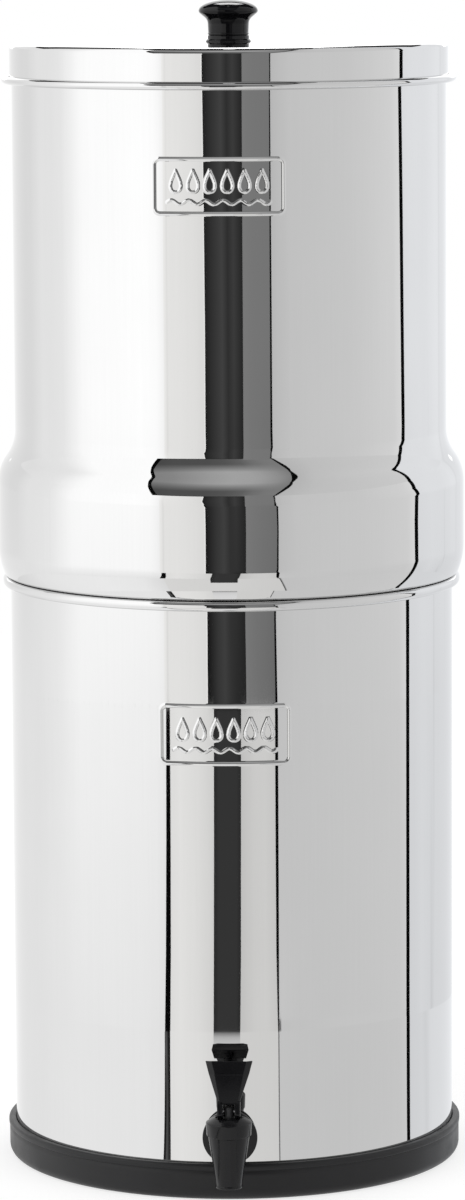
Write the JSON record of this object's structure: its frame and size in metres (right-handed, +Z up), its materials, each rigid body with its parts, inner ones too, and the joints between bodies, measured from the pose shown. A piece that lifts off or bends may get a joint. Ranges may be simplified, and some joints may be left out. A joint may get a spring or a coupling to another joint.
{
  "type": "gravity water filter",
  "caption": "Two stacked round steel chambers with a lift-off lid, hanging filter elements and a sprung lever tap.",
  "frame": {"origin": "centre of the base ring's flat underside, on the axis of both chambers", "axes": "+Z up along the chambers' axis, -Y to the front, where the tap is, +X to the right of someone facing the tap"},
  "size_m": [0.2981, 0.3428, 0.7427],
  "materials": {
    "polished_steel": "mirror polished with a faint upright grain",
    "black_rubber": "satin",
    "black_plastic": "gloss",
    "knob_plastic": "high gloss",
    "silicone": "matt",
    "gasket_blue": "matt",
    "carbon_block": "fine grained, matt",
    "cap_plastic": "satin",
    "white_plastic": "satin",
    "brass": "turned",
    "steel_fastener": "plain",
    "spring_steel": "bright drawn wire"
  },
  "bodies": {
    "lower": {"base_ring": "black_rubber", "lower_chamber": "polished_steel", "tap_body": "black_plastic", "tap_washer_outer": "silicone", "tap_washer_inner": "silicone", "tap_nut": "black_plastic", "tap_bonnet": "black_plastic", "tap_spring": "spring_steel"},
    "plunger": {"tap_stem": "black_plastic", "tap_seat_cup": "silicone"},
    "lever": {"tap_handle": "black_plastic", "tap_handle_pin": "steel_fastener"},
    "upper": {"upper_chamber": "polished_steel", "filter_element_1": "carbon_block", "filter_element_2": "carbon_block", "filter_element_3": "carbon_block", "filter_element_4": "carbon_block", "filter_base_1": "cap_plastic", "filter_base_2": "cap_plastic", "filter_base_3": "cap_plastic", "filter_base_4": "cap_plastic", "filter_gasket_1": "gasket_blue", "filter_gasket_2": "gasket_blue", "filter_gasket_3": "gasket_blue", "filter_gasket_4": "gasket_blue", "wing_nuts": "white_plastic", "hole_plugs": "silicone"},
    "lid": {"lid_shell": "polished_steel", "lid_knob": "knob_plastic", "knob_insert": "brass", "knob_washer": "steel_fastener", "knob_screw": "steel_fastener"}
  },
  "joints": [
    {"name": "upper_lift", "type": "slide", "parent": "lower", "child": "upper", "axis": [0, 0, 1], "range_m": [0, 0.12]},
    {"name": "lid_lift", "type": "slide", "parent": "upper", "child": "lid", "axis": [0, 0, 1], "range_m": [0, 0.12]},
    {"name": "stem_lift", "type": "slide", "parent": "lower", "child": "plunger", "axis": [0, 0, 1], "range_m": [0, 0.003], "deforming": ["tap_spring"]},
    {"name": "handle_pull", "type": "hinge", "parent": "plunger", "child": "lever", "pos_m": [0, -0.1795, 0.0652], "axis": [1, 0, 0], "range_deg": [0, 45], "stiffness_Nm_per_rad": 0.009}
  ],
  "couplings": [
    {"joint": "stem_lift", "follows": "handle_pull", "m_per_rad": 0.0038}
  ]
}
